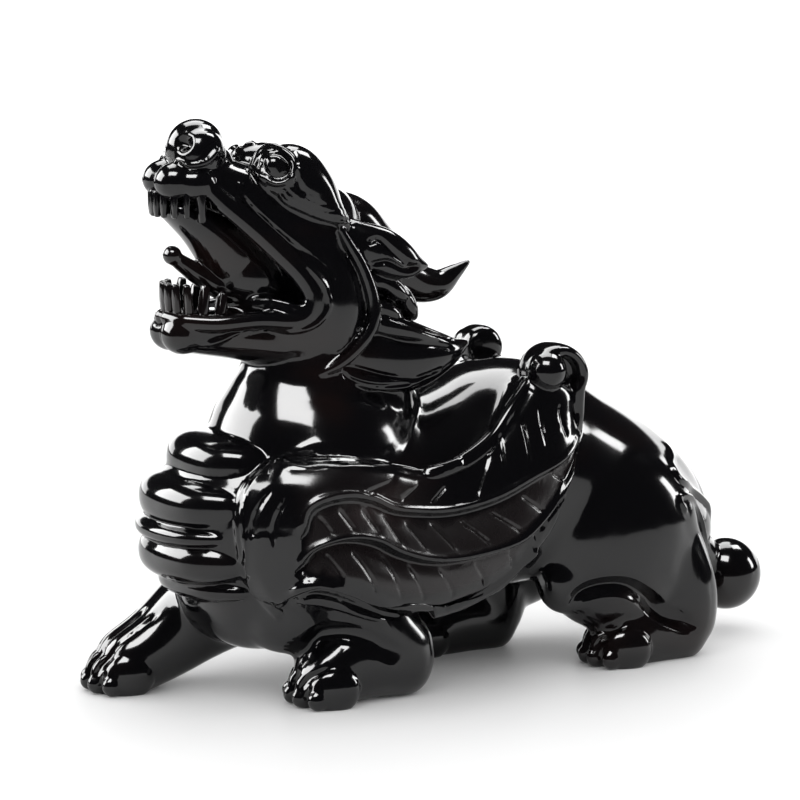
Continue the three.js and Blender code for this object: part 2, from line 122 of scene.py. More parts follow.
def smooth_path(stations, along):
    """Points on a smooth curve through the stations"""
    points = [np.array(s, float) for s in stations]
    padded = [2 * points[0] - points[1], *points, 2 * points[-1] - points[-2]]
    found = []
    for i in range(len(points) - 1):
        a, b, c, d = padded[i:i + 4]
        for k in range(along):
            t = k / along
            bend = 2 * a - 5 * b + 4 * c - d + t * (3 * b - a - 3 * c + d)
            found.append(b + 0.5 * t * (c - a + t * bend))
    found.append(points[-1])
    return np.array(found)


def ring_frame(tangent, across):
    side = (across - across.dot(tangent) * tangent).normalized()
    return Matrix((side, tangent.cross(side), tangent)).transposed()


def limb(stations, around=20, along=5, across=(0, 1, 0), square=2.0, cap=0.7, name="limb"):
    """A limb extruded ring by ring through stations of [x, y, z, half width, half depth]"""
    path = smooth_path(stations, along).tolist()
    centres = [Vector(row[:3]) for row in path]
    last = len(path) - 1
    rings = []
    for i, row in enumerate(path):
        ahead = centres[min(i + 1, last)]
        behind = centres[max(i - 1, 0)]
        wide, deep = max(row[3], THINNEST), max(row[4], THINNEST)
        rings.append((centres[i], (ahead - behind).normalized(), wide, deep))
    for end, direction in ((0, -1), (-1, 1)):
        centre, tangent, wide, deep = rings[end]
        reach = cap * min(wide, deep)
        for share in CAP_TURNS:
            turn = share * math.pi / 2
            ring = (centre + direction * reach * math.sin(turn) * tangent, tangent,
                    wide * math.cos(turn), deep * math.cos(turn))
            rings.insert(0 if direction < 0 else len(rings), ring)

    deselect()
    bpy.ops.mesh.primitive_circle_add(vertices=around, radius=1, fill_type="NGON")
    piece = named(name)
    for corner in piece.data.vertices:
        for k in (0, 1):
            corner.co[k] = math.copysign(abs(corner.co[k]) ** (2 / square), corner.co[k])
    opened()
    centre, tangent, wide, deep = rings[0]
    facing = ring_frame(tangent, Vector(across))
    bpy.ops.transform.resize(value=(wide, deep, 1), center_override=(0, 0, 0))
    turned(facing.to_euler("XYZ"))
    bpy.ops.transform.translate(value=centre)
    for next_centre, next_tangent, next_wide, next_deep in rings[1:]:
        next_facing = ring_frame(next_tangent, Vector(across))
        bpy.ops.mesh.extrude_region_move(TRANSFORM_OT_translate={"value": next_centre - centre})
        turned((next_facing @ facing.transposed()).to_euler("XYZ"), next_centre)
        bpy.ops.transform.resize(value=(next_wide / wide, next_deep / deep, 1), orient_type="GLOBAL",
                                 orient_matrix=next_facing, orient_matrix_type="GLOBAL",
                                 center_override=next_centre)
        centre, wide, deep, facing = next_centre, next_wide, next_deep, next_facing
    bpy.ops.mesh.select_all(action="SELECT")
    bpy.ops.mesh.normals_make_consistent(inside=False)
    closed()
    return rounded(piece)


def egg(place, half_sizes, pitch=0.0, turn=0.0, around=28):
    """A sphere resized, pitched about Y, turned about Z and set in its place"""
    deselect()
    bpy.ops.mesh.primitive_uv_sphere_add(segments=around, ring_count=around // 2, radius=1)
    piece = named("egg")
    opened()
    bpy.ops.transform.resize(value=half_sizes, center_override=(0, 0, 0))
    turned((0, pitch, turn))
    bpy.ops.transform.translate(value=place)
    closed()
    return rounded(piece)


def joined(pieces, name):
    chosen(*pieces)
    bpy.ops.object.join()
    return named(name)


def finished_with(piece, kind, **settings):
    """Adds one modifier and applies it"""
    chosen(piece)
    modifier = piece.modifiers.new(kind.title(), kind)
    for key, value in settings.items():
        setattr(modifier, key, value)
    bpy.ops.object.modifier_apply(modifier=modifier.name)
    return piece


def rounded(piece):
    return finished_with(piece, "SUBSURF", levels=1, render_levels=1)


def fused(piece, voxel):
    """Joins all the closed shells of a piece into one skin"""
    return finished_with(piece, "REMESH", mode="VOXEL", voxel_size=voxel, use_smooth_shade=True)


def softened(piece, rounds):
    return finished_with(piece, "SMOOTH", factor=0.5, iterations=rounds)


def cut_by(piece, cutter):
    finished_with(piece, "BOOLEAN", operation="DIFFERENCE", object=cutter, solver="EXACT")
    bpy.data.objects.remove(cutter)
    return piece


# Body and chest

def torso():
    return limb([
        [-50, 0, 36, 14, 13],
        [-42, 0, 37, 19, 18],
        [-30, 0, 38, 22, 21],
        [-14, 0, 36.5, 22.5, 20],
        [1, 0, 38, 22, 22.5],
        [14, 0, 39.5, 21, 24.5],
        [28, 0, 35.5, 20, 21],
        [40, 0, 30, 19, 18],
        [51, 0, 23, 16, 13.5],
    ], around=40, cap=0.8)


def rump_ridge():
    """The raised ridge of hair that runs down the back to the tail"""
    return limb([
        [30, 0, 50.4, 6, 4],
        [38, 0, 46.4, 9, 6],
        [44.2, 0, 41.6, 10.5, 6.6],
        [49.8, 0, 35.6, 11, 7.4],
        [54.2, 0, 29.4, 10, 7.4],
        [57, 0, 23.6, 8.5, 6.6],
    ], around=32, square=2.3)


def neck():
    """The neck swells to a cushion that turns in again over the chest and the wings"""
    return limb([
        [-30, 0, 43, 16.4, 19.6],
        [-30, 0, 46, 19, 20.6],
        [-30, 0, 48.4, 20.2, 21.3],
        [-30, 0, 50.4, 20.5, 21.5],
        [-30, 0, 53, 19.9, 21.3],
        [-30, 0, 56, 18.5, 20.4],
        [-29.9, 0, 59, 16.4, 18.8],
        [-29.8, 0, 61, 14.5, 17.2],
        [-29.6, 0, 62.6, 13.2, 16],
        [-29.4, 0, 64.6, 12.8, 15.2],
        [-29, 0, 69, 12.5, 14.6],
        [-28, 0, 75, 12, 12.5],
    ], around=40, along=3)


def nape():
    return limb([
        [-29, 0, 91, 8, 8],
        [-20, 0, 83, 10, 8],
        [-17, 0, 72, 11.5, 8],
        [-17.5, 0, 60, 13, 9],
        [-19, 0, 49, 14, 11],
    ], around=28)


def chest_core():
    return [
        egg((-43, 0, 36), (21.5, 20.5, 19), around=44),
        egg((-42, 0, 22.5), (16.5, 17.5, 14), around=36),
    ]


def chest_roll(front, level, reach, half_height, half_depth, droop, spread):
    """One roll of the chest, a tube round the front that sinks into the barrel at both ends"""
    count = 15
    deep, wide = reach
    stations = []
    for i in range(count):
        share = 2 * i / (count - 1) - 1
        angle = spread * share
        thin = 1 - 0.8 * abs(share) ** 3
        stations.append([
            front + half_depth + deep * (1 - math.cos(angle)),
            wide * math.sin(angle),
            level + droop * (1 - math.cos(angle)),
            half_height * (0.2 + 0.8 * thin),
            half_depth * thin,
        ])
    return limb(stations, around=24, along=3, across=(0, 0, 1), square=2.5, cap=0.6)


def chest_rolls():
    """The five rolls from the neck down, the third and the last one thin"""
    return [
        chest_roll(-60.3, 48, (19, 17), 6, 8.5, 2, 0.84),
        chest_roll(-66.2, 40.6, (22, 20), 5.6, 8.5, 1, 0.84),
        chest_roll(-67.2, 35, (22, 20.5), 2.4, 6, 0, 0.8),
        chest_roll(-66.4, 29.6, (22, 20.5), 5, 8, 0, 0.84),
        chest_roll(-62.3, 23.8, (21, 19), 2.8, 6.5, -1, 0.82),
    ]


def shoulder(side):
    return egg((-33, 16.5 * side, 35), (18, 9, 19), pitch=-0.25, turn=-0.2 * side, around=40)


# Legs, paws and tail

def fore_leg_upper(side):
    """The right foreleg reaches forward, the left one lies folded back on its elbow"""
    if side > 0:
        return [limb([
            [-38, 11, 20, 10, 12],
            [-49, 12, 14.5, 9, 10],
            [-58, 12.5, 8.8, 8, 8],
            [-66.5, 12.5, 5, 7.4, 6.8],
        ], around=28, square=2.4)]
    return [
        egg((-41, -11, 18.5), (10, 9, 9)),
        limb([
            [-34, -14, 26, 9, 11],
            [-25, -16, 15, 8, 9],
            [-18, -17, 8, 7, 8],
        ], around=28),
        limb([
            [-16.5, -17, 6.5, 6.6, 7.4],
            [-26, -17.5, 8.5, 7, 8.4],
            [-33, -17, 6.5, 6.8, 7.4],
            [-37.5, -16.8, 4.5, 6.6, 6],
        ], around=28, square=2.3),
    ]


def haunch(side):
    return egg((24 if side > 0 else 34, 13.4 * side, 25.6), (19.4, 10.4, 19.4), around=40)


def hind_leg(side):
    """The right hind leg is drawn forward under the belly, the left one trails"""
    shift = STRIDE[side]
    inward = 4 if side > 0 else 0
    return [
        haunch(side),
        limb([
            [41 + shift, 14 * side, 24, 9, 15],
            [30 + shift, 14.6 * side, 20.5, 8.4, 11],
            [18.5 + shift, (15.2 - inward) * side, 17.8, 5.2, 6.4],
        ], around=28),
        limb([
            [45 + shift, 13 * side, 24, 8, 9],
            [49.5 + shift, (15 - inward) * side, 14, 7, 7.5],
            [49.5 + shift, (15.5 - inward) * side, 6, 6.6, 6.8],
        ], around=28),
        limb([
            [50 + shift, (15 - inward) * side, 5, 6.4, 6.4],
            [42 + shift, (15.2 - inward) * side, 6, 6.4, 7.4],
            [36 + shift, (15.2 - inward) * side, 5, 6.4, 6.8],
            [32 + shift, (15.2 - inward) * side, 4, 6.2, 5.8],
        ], around=28, square=2.4),
    ]


# Middle of the toes of each paw, how far they spread, and how far the clefts between them run back
PAWS = [(-38, -17, 5.6, 3), (-69.3, 12.4, 5.2, 13), (31, -15.4, 5.2, 3), (-1.5, 11.8, 4.8, 3)]


def toes(x, y, spread):
    """Four toes across the front of a paw, each with a claw"""
    parts = []
    for i in range(4):
        across = (i - 1.5) / 1.5
        front = x + 1.8 * across * across
        toe = (front, y + spread * across, 3.6)
        claw = (front - 4, y + (spread + 0.3) * across, 2)
        parts.append(egg(toe, (5.4, 2.5, 4.8), turn=0.22 * across, around=24))
        parts.append(egg(claw, (2.3, 1.4, 2), turn=0.2 * across, pitch=0.5, around=16))
    return parts


def tail_root():
    return limb([[48, 0, 28, 9, 7], [57, 0, 20, 7, 7], [66, 0, 13, 4.4, 4.4]], around=24)


def tail_ball():
    return egg((69.5, 0, 12), (7.6, 7.6, 7.8), around=40)


# Wings

def hung(height, fall):
    """The height of a spot of a wing once the wing hangs lower by its fall"""
    return height - fall * (height - WING_LEVEL)


def wing_root(side):
    """The blade of the wing, which carries the feathers up to the scroll"""
    return limb([[x, y * side, hung(z, FALL[side]), wide, deep] for x, y, z, wide, deep in [
        [-36, 17, 33, 8.5, 13],
        [-22, 17.5, 30.5, 8.5, 12.5],
        [-8, 17.5, 32, 8, 12.5],
        [4, 17, 40, 7, 11.5],
        [12, 16, 51, 6, 9],
        [16.5, 15, 59, 4.6, 6.5],
    ]], around=28, along=6, square=2.7)


def wing_rim(side):
    """The rim along the top of the blade, up to the scroll"""
    return limb([[x, y * side, hung(z, FALL[side]), wide, wide] for x, y, z, wide in [
        [-15, 21.6, 45.6, 0.6],
        [-6.8, 21.4, 47.6, 1.3],
        [0.6, 20.2, 51.2, 1.5],
        [6, 18.6, 56.4, 1.5],
        [11, 16.6, 61, 1.2],
    ]], around=18)


def wing_scroll(side):
    """The wing's tip rolls up and over into a rim, with a ball in its hollow, smaller on the right side"""
    size = 1 if side < 0 else 0.68
    x, y, z = (17.3, 15, 62) if side < 0 else (15.4, 12.5, 63.9)
    stops = 9
    first_angle, sweep = -35, 265
    rim = [
        [x + 1.4, (y + 2.4) * side, z - 18 * size, 1.6 * size, 0.8 * size],
        [x + 4.6 * size, (y + 1.2) * side, z - 11 * size, 3 * size, 1.3 * size],
    ]
    for i in range(stops):
        share = i / (stops - 1)
        angle = math.radians(first_angle + sweep * share)
        radius = (5.9 - 1.2 * share) * size
        rim.append([x + radius * math.cos(angle), y * side, z + radius * math.sin(angle),
                    (4.6 - 0.5 * share) * size, (1.7 - 0.5 * share) * size])
    web = limb([
        [x, (y - 4.5 * size) * side, z, 5.6 * size, 5.6 * size],
        [x, (y + 1 * size) * side, z, 5.6 * size, 5.6 * size],
    ], around=36, across=(1, 0, 0), cap=0.15)
    ball = egg((x - 2.4 * size, (y + 2.4 * size) * side, z + 1.3 * size),
               (4.2 * size, 4.4 * size, 4.2 * size))
    return [limb(rim, square=2.4), web, ball]


# Head

def skull():
    """The cheeks are cut away between the jaws by a wedge that ends at the mouth corners"""
    parts = [
        egg((-33, 0, 91), (11, 12, 14), pitch=-0.5, around=36),
        egg((-35.5, 0, 80), (13, 12, 15.5), around=36),
        limb([
            [-30, 0, 90, 11.5, 13],
            [-38, 0, 94.5, 11, 12],
            [-46, 0, 98.5, 9.6, 9.4],
            [-52, 0, 102.4, 7.6, 7.4],
            [-57, 0, 105.5, 6.4, 5],
        ], around=28, square=2.4),
        limb([
            [-28, 0, 73, 11.5, 9],
            [-37, 0, 72.5, 10.8, 7],
            [-47, 0, 73.4, 9, 5.2],
            [-59, 0, 75, 6.6, 4.4],
        ], around=28, square=2.3),
    ]
    for side in SIDES:
        parts.append(egg((-33.3, 6 * side, 80.5), (12, 7.6, 16), pitch=-0.12, around=36))
        parts.append(egg((-29.6, 8 * side, 79), (8, 6.4, 13), pitch=-0.12, around=36))
        parts.append(egg((-59.5, 2.6 * side, 74.6), (4.6, 4.2, 4.2)))
    head = joined(parts, "skull")
    fused(head, HEAD_GRAIN)
    mouth = limb([
        [-37.6, 0, 80.8, 24, 1.0],
        [-42, 0, 84.6, 24, 3.6],
        [-47.6, 0, 87, 24, 6.4],
        [-53, 0, 89.2, 24, 9],
        [-57, 0, 91.8, 24, 12],
        [-62, 0, 92.6, 24, 13.4],
        [-70, 0, 92.6, 24, 13.4],
    ], around=28, square=3, cap=0.4, name="mouth")
    cut_by(head, mouth)
    fused(head, HEAD_GRAIN)
    return rounded(softened(head, FORM_ROUNDS))


def nose():
    """A round nose over two lip pads, run into the bridge behind it"""
    parts = [
        egg((-55.2, 0, 111.1), (6.2, 5, 5.8)),
        egg((-52, 0, 107), (5, 5.4, 5)),
    ]
    for side in SIDES:
        parts.append(egg((-55.4, 3.2 * side, 110.4), (5, 3.8, 4.8)))
        parts.append(egg((-60.6, 2.7 * side, 105), (4.7, 3.9, 3.9)))
        parts.append(egg((-57, 5 * side, 104.6), (4.2, 3, 3.4)))
    return parts


def brow_and_eye(side):
    """A heavy brow that runs back to a point over the ear, with the eyeball under its front"""
    sunk = 1.0 if side > 0 else 0
    return [
        limb([
            [-42, 5.6 * side, 106.2 - sunk, 5, 5.4],
            [-37.4, 6 * side, 104.6 - sunk, 6.2, 7],
            [-33, 7.2 * side, 101.2 - sunk, 5.6, 5.6],
            [-30, 8.8 * side, 97.8, 4, 3.2],
            [-27.2, 10.4 * side, 94.8, 1.4, 1],
        ], around=28),
        egg((-42, 8.4 * side, 107.6), (2.5, 2.3, 2.5), around=24),
    ]


def throat_and_tongue():
    return [
        egg((-44, 0, 85), (9, 7, 7.5), pitch=0.5),
        limb([[-60.5, 0, 99.4, 5, 2.6], [-54, 0, 95, 6, 4.5], [-47, 0, 88.6, 6.5, 7]]),
        limb([
            [-42, 0, 81, 6, 3.4],
            [-49, 0, 82.6, 4.6, 2.8],
            [-54.5, 0, 85.6, 2.8, 2.2],
            [-59.4, 0, 89, 1.7, 1.6],
        ]),
        egg((-60.4, 0, 90), (2, 2.1, 2), around=20),
    ]


def lip_fold(side):
    """The lip runs back from the fang, turns at the mouth corner and comes forward again"""
    return limb([[x, y * side, z, wide, deep] for x, y, z, wide, deep in [
        [-56.6, 5.6, 105.6, 1.4, 1.6],
        [-53.2, 7, 101.6, 1.8, 2],
        [-49, 8.6, 97.4, 1.9, 2.1],
        [-42.6, 10, 91.2, 1.9, 2.2],
        [-37.4, 11.2, 85.6, 1.9, 2.2],
        [-35.2, 11.8, 80.6, 1.8, 2.1],
        [-38, 11.4, 77, 1.8, 2],
        [-46, 9.8, 77.4, 1.7, 1.8],
        [-54, 8, 77, 1.7, 1.8],
        [-60, 5, 77.4, 1.6, 1.7],
        [-62.2, 1, 77.8, 1.6, 1.6],
    ]], around=18)


def cheek_rim(side):
    """The raised edge of the cheek, from the end of the brow down under the jaw"""
    return limb([[x, y * side, z, 1.3, wide] for x, y, z, wide in [
        [-29.6, 10.8, 95.8, 0.8],
        [-27.4, 11.8, 91.6, 1.1],
        [-24.6, 12.8, 86.4, 1.3],
        [-22.8, 13.6, 80.4, 1.4],
        [-23, 14, 75.6, 1.4],
        [-25.9, 14, 71.4, 1.4],
        [-30, 12.8, 67.7, 1.2],
        [-35.4, 10.2, 65, 0.8],
    ]], around=16)


def tooth(x, y, root, tip, wide, lean=0.0):
    """A tooth a little wider than it is deep, with a blunt tip"""
    return limb([
        [x, y, root, wide, wide * 0.8],
        [x + lean * 0.6, y, 0.6 * tip + 0.4 * root, wide, wide * 0.8],
        [x + lean, y, tip, wide * 0.85, wide * 0.55],
    ], around=10, along=2, square=2.8, cap=0.5)


def teeth():
    parts = []
    for side in SIDES:
        for x, y in [(-64, 0.9), (-63.4, 2.7), (-61.9, 4.3), (-59.8, 5.4)]:
            parts.append(tooth(x, y * side, 103, 98.2, 1.02))
        parts.append(tooth(-57.2, 6 * side, 103.4, 97.2, 1.4, 0.4))
        for x, y in [(-61.4, 0.95), (-60.7, 2.8), (-58.9, 4.4)]:
            parts.append(tooth(x, y * side, 77, 84.4, 1.12, -0.5))
        parts.append(tooth(-56.6, 5.4 * side, 77, 84.2, 1.4, 0.8))
        parts.append(tooth(-53.2, 6.2 * side, 77, 82.6, 1.5, 0.8))
    return parts


def horn():
    return limb([
        [-31, 0, 95.5, 6, 5.5],
        [-22, 0, 94, 6, 6.2],
        [-15.5, 0, 88.5, 5, 5.4],
        [-8, 0, 81.6, 3.8, 4.4],
        [-1.5, 0, 79.8, 3, 3.4],
        [3, 0, 82, 1.7, 1.8],
        [6.4, 0, 84, 0.5, 0.5],
    ], around=24)


def ear(side):
    return limb([
        [-26, 9.6 * side, 93.4, 2.2, 3],
        [-20.5, 12 * side, 90, 2.8, 4.6],
        [-15, 13 * side, 87, 2.2, 3.6],
        [-10, 12.4 * side, 86, 0.5, 0.6],
    ], around=22)


def hair_curls(side):
    return [egg((x, y * side, z), (4.6, 2.6, 2), pitch=lean, around=24)
            for x, y, z, lean in [(-21, 10.4, 83.4, 0.2), (-17, 11, 81.6, 0.7), (-13.6, 10, 78.6, 1.1),
                                  (-19, 11.4, 77.6, 0.5)]]


def mane_lock(side):
    """Two tufts that come out from under the cheek and run back to a point"""
    return [
        limb([
            [-32, 7 * side, 69, 4, 5],
            [-22, 9.4 * side, 68.2, 4.2, 7.4],
            [-13, 11 * side, 67, 3.8, 6.6],
            [-5, 10.8 * side, 67.6, 2.6, 3.6],
            [0.6, 9.8 * side, 69.2, 0.6, 0.7],
        ], around=28),
        limb([
            [-25, 9.6 * side, 76, 3, 3.2],
            [-18, 12 * side, 74.2, 2.8, 2.6],
            [-11, 12.4 * side, 72.2, 2, 1.8],
            [-3, 10.8 * side, 70, 0.6, 0.6],
        ], around=22),
        limb([
            [-30, 10.4 * side, 66, 1.2, 1],
            [-23, 13 * side, 63.4, 1.7, 1.5],
            [-15, 13.4 * side, 62.8, 1.6, 1.4],
            [-8, 12.4 * side, 65, 0.6, 0.6],
        ], around=18),
    ]


# Strokes on the surface

OUTSIDE = 60                       # distance from the middle that no spot of the figure reaches
CLOSED = 0.01                      # taper of a stroke that closes on itself


def smooth(value):
    t = np.clip(value, 0, 1)
    return t * t * (3 - 2 * t)


def ramp(value, low, high):
    """Runs smoothly from 0 at low to 1 at high"""
    return smooth((value - low) / (high - low))


def faded_ends(along, length, taper):
    """1 along a stroke, down to 0 at both its ends"""
    return smooth(along / taper) * smooth((length - along) / taper)


def inside(outline, x, z):
    """Which spots of the side view lie inside a closed outline"""
    within = np.zeros(len(x), bool)
    for (x1, z1), (x2, z2) in zip(outline, np.roll(outline, -1, axis=0)):
        crosses = (z1 > z) != (z2 > z)
        within ^= crosses & (x < (x2 - x1) * (z - z1) / (z2 - z1 + 1e-9) + x1)
    return within


def away(line, x, z):
    """How far spots of the side view are from a line"""
    best = np.full(len(x), 1e3)
    for (x1, z1), (x2, z2) in zip(line[:-1], line[1:]):
        dx, dz = x2 - x1, z2 - z1
        share = np.clip(((x - x1) * dx + (z - z1) * dz) / (dx * dx + dz * dz + 1e-9), 0, 1)
        best = np.minimum(best, np.hypot(x - x1 - share * dx, z - z1 - share * dz))
    return best


def spaced(line, count):
    """So many points spread along a line of the side view"""
    points = smooth_path(line, 6)
    return points[(np.linspace(0, 1, count) * (len(points) - 1)).round().astype(int)]


def between(first, second):
    """The line halfway between two lines of the side view"""
    return (spaced(first, 12) + spaced(second, 12)) / 2


def evened(path, rounds, axes=slice(0, 3)):
    """A path without the small jumps that it takes from the surface below it"""
    for _ in range(rounds):
        path[1:-1, axes] = (path[:-2, axes] + 2 * path[1:-1, axes] + path[2:, axes]) / 4
    return path


class Skin:
    """The corners of a piece as arrays, raised and sunk along its normals"""

    def __init__(self, piece):
        self.piece = piece
        mesh = piece.data
        self.places = np.empty(3 * len(mesh.vertices), np.float32)
        mesh.vertices.foreach_get("co", self.places)
        self.places = self.places.reshape(-1, 3)
        self.normals = np.empty(self.places.size, np.float32)
        mesh.vertex_normals.foreach_get("vector", self.normals)
        self.normals = self.normals.reshape(-1, 3)
        self.rise = np.zeros(len(self.places))
        self.tree = BVHTree.FromObject(piece, bpy.context.evaluated_depsgraph_get())

    def laid(self, line, side, fall=0.0, least=5.0):
        """A line of the side view, [x, z], laid on one side, at least so far from the middle"""
        found = []
        for x, z in smooth_path(line, 6).tolist():
            height = hung(z, fall)
            spot = self.tree.ray_cast(Vector((x, OUTSIDE * side, height)), Vector((0, -side, 0)))[0]
            if spot is None or spot.y * side < least:
                spot = self.tree.find_nearest(Vector((x, least * side, height)))[0]
            found.append(spot)
        return evened(np.array(found, np.float32), 8, 1)

    def snapped(self, line, side=1):
        """A line of points, [x, y, z], moved to the nearest spots of the surface"""
        points = smooth_path([[x, y * side, z] for x, y, z in line], 6).tolist()
        return evened(np.array([self.tree.find_nearest(Vector(p))[0] for p in points], np.float32), 6)

    def near(self, path, widest):
        """The corners near a path: how far off, how far along it, and on which hand seen from outside"""
        low = path.min(axis=0) - widest
        high = path.max(axis=0) + widest
        picked = np.flatnonzero(((self.places > low) & (self.places < high)).all(axis=1))
        spots = self.places[picked]
        apart = np.full(len(picked), 2 * widest)
        along = np.zeros(len(picked))
        hand = np.zeros(len(picked))
        start = 0.0
        tangents = np.gradient(path, axis=0)
        for i in range(len(path) - 1):
            a = path[i]
            step = path[i + 1] - a
            length = float(np.linalg.norm(step))
            if length < 1e-5:
                continue
            share = np.clip((spots - a) @ step / length ** 2, 0, 1)
            gap = spots - a - share[:, None] * step
            distance = np.sqrt((gap * gap).sum(axis=1))
            closer = distance < apart
            apart[closer] = distance[closer]
            along[closer] = start + share[closer] * length
            heading = tangents[i] + share[closer, None] * (tangents[i + 1] - tangents[i])
            outward = self.normals[picked[closer]]
            hand[closer] = np.sign((gap[closer] * np.cross(outward, heading)).sum(axis=1))
            start += length
        touched = apart < widest
        return picked[touched], apart[touched], along[touched], hand[touched], start

    def bead(self, path, width, height, taper=1.5):
        """A rounded ridge of this half width, or with a negative height a rounded channel"""
        picked, apart, along, _, length = self.near(path, width)
        self.rise[picked] += height * (1 - (apart / width) ** 2) * faded_ends(along, length, taper)

    def groove(self, path, width, depth, taper=1.2):
        """A cut of this half width with a sharp bottom"""
        picked, apart, along, _, length = self.near(path, width)
        self.rise[picked] -= depth * (1 - apart / width) * faded_ends(along, length, taper)

    def ledge(self, path, side, height, fade):
        """A crisp edge, raised on the upper hand of a line that runs to the tail, fading away from it"""
        edge, taper = 0.6, 3.0
        picked, apart, along, hand, length = self.near(path, fade)
        rise = height * smooth(apart / edge) * (1 - smooth(apart / fade)) * faded_ends(along, length, taper)
        upper = hand == -side
        self.rise[picked[upper]] += rise[upper]

    def dent(self, place, radius, depth):
        """A round hollow"""
        distance = np.linalg.norm(self.places - np.array(place, np.float32), axis=1)
        picked = np.flatnonzero(distance < radius)
        self.rise[picked] -= depth * (1 - (distance[picked] / radius) ** 2) ** 1.5

    def on_side(self, side, outline):
        """The corners of one side that lie inside an outline of the side view"""
        low, high = outline.min(axis=0), outline.max(axis=0)
        x, y, z = self.places.T
        close = (x > low[0]) & (x < high[0]) & (z > low[1]) & (z < high[1])
        picked = np.flatnonzero(close & (y * side > 6) & (self.normals[:, 1] * side > -0.1))
        return picked[inside(outline, self.places[picked, 0], self.places[picked, 2])]

    def finish(self):
        self.places += self.normals * self.rise[:, None].astype(np.float32)
        self.piece.data.vertices.foreach_set("co", self.places.ravel())
        self.piece.data.update()
        return self.piece


# Carving of the wings, as lines of the side view, [x, z]

FRONT_EDGE = [[-45.8, 18.4], [-49.2, 22.8], [-53.4, 29], [-53.9, 32.5], [-54.5, 36]]
TOP_EDGE = [[-54.5, 36], [-54.4, 40.5], [-52.5, 44.7], [-49, 47.8], [-45.3, 50], [-40.8, 50.4],
            [-33.6, 49.9], [-25, 47.9], [-15.8, 46], [-6.8, 47.8], [0.6, 51.5], [5.8, 57], [10, 61]]
SECOND_EDGE = [[-44.6, 37.4], [-43.2, 41.4], [-39.7, 43.1], [-34.7, 43.4], [-29.6, 42.1], [-24.6, 39.7],
               [-19.2, 38.5], [-13, 37.8], [-6.6, 38.3], [0.5, 40.1], [8.1, 43.6], [15.9, 47.2], [21.5, 51]]
THIRD_EDGE = [[-45, 30.7], [-43, 33.9], [-39.3, 35.4], [-34.5, 35.5], [-29, 34], [-24.3, 31.4],
              [-18.6, 29.5], [-12.5, 28.9], [-5.2, 29.6], [2.6, 31.3], [7.8, 34.3], [13.2, 38.7],
              [19.6, 44.8]]
FOURTH_EDGE = [[-45.4, 29.5], [-42.7, 28.2], [-34.7, 26.6], [-27.5, 23.4], [-21, 21.6], [-14.6, 21.1],
               [-6.4, 21.9], [-0.1, 23.8], [4.9, 28], [9.9, 34.2]]
LOWER_EDGE = [[-45.4, 23], [-43.4, 25], [-40.8, 26.2], [-35.4, 25], [-30.8, 22.7], [-24.5, 19.6],
              [-17.7, 18.1], [-10.9, 17.9], [-2.4, 20.1], [1.7, 23.2], [4.6, 26.4]]
TRAILING_EDGE = [[4.6, 26.4], [11.3, 33], [15, 39], [19.7, 45.2], [21.8, 50.5], [22.8, 57]]
LEAF_VEIN = [[-44.8, 22.9], [-41.6, 24.2], [-36.9, 23.1], [-31.1, 20.5], [-26.4, 18.4], [-21.5, 17]]
LEAF_LOW = [[-44.6, 22.2], [-40.6, 21.8], [-35.5, 20], [-30.2, 17.8], [-25, 16.2]]
FLUTES = [
    [[-52, 35], [-51.6, 39], [-50, 42.4], [-47.6, 45]],
    [[-48.8, 34], [-48.9, 38], [-47.6, 41.4], [-45.4, 44.4]],
]
TOP_BARBS = [
    [[-23.6, 45], [-32.4, 43.4]], [[-17, 43.7], [-23, 40.8]], [[-11.3, 42.8], [-16, 39.3]],
    [[-1, 48.4], [-5.7, 39.6]], [[2, 52.4], [1.1, 41.8]], [[7.2, 55], [7, 45.8]],
    [[11.5, 57], [11.2, 48.4]], [[16.4, 57], [16.5, 50]],
]

# Each row of feathers by its upper and its lower edge, and how deep it is sunk
ROWS = [(TOP_EDGE, SECOND_EDGE, 0.2), (SECOND_EDGE, THIRD_EDGE, 1.1), (THIRD_EDGE, FOURTH_EDGE, 2.9)]


def row_edges(upper, lower, fall):
    """Both edges of a row as smooth lines, on a wing that hangs lower by its fall"""
    lines = smooth_path(upper, 5), smooth_path(lower, 5)
    for line in lines:
        line[:, 1] = hung(line[:, 1], fall)
    return lines


def sunk_row(skin, side, upper, lower, depth):
    """A row of feathers, deepest under its upper rim and rising to the next one"""
    above, below = row_edges(upper, lower, FALL[side])
    picked = skin.on_side(side, np.vstack([above, below[::-1]]))
    x, z = skin.places[picked, 0], skin.places[picked, 2]
    from_upper, from_lower = away(above, x, z), away(below, x, z)
    from_end = away(np.array([above[-1], below[-1]]), x, z)
    wall = smooth(np.minimum(from_upper, from_end) / 0.8)
    skin.rise[picked] -= depth * wall * from_lower / (from_upper + from_lower + 1e-6)


def wing_outline(side):
    """The wing's front and top, then across the foot of the scroll and back along its lower edge"""
    below_scroll = [[12, 60], [18, 60]]
    outline = np.vstack([smooth_path(line, 4) for line in (
        FRONT_EDGE, TOP_EDGE, below_scroll, TRAILING_EDGE[::-1], LOWER_EDGE[::-1])])
    outline[:, 1] = hung(outline[:, 1], FALL[side])
    return outline


def fair_wing(skin, side):
    """Draws the blank of the wing to one fair surface, free of the unevenness of the forms below it"""
    outline = wing_outline(side)
    picked = skin.on_side(side, outline)
    x, y, z = skin.places[picked].T.astype(float)
    along, up = (x + 15) / 35, (z - 38) / 20
    terms = np.stack([along ** i * up ** k for i in range(5) for k in range(5 - i)], axis=1)
    fair = terms @ np.linalg.lstsq(terms, y, rcond=None)[0]
    hold = smooth(away(outline, x, z) / 3) * (1 - ramp(z, 49, 56))
    skin.places[picked, 1] += hold * (fair - y)


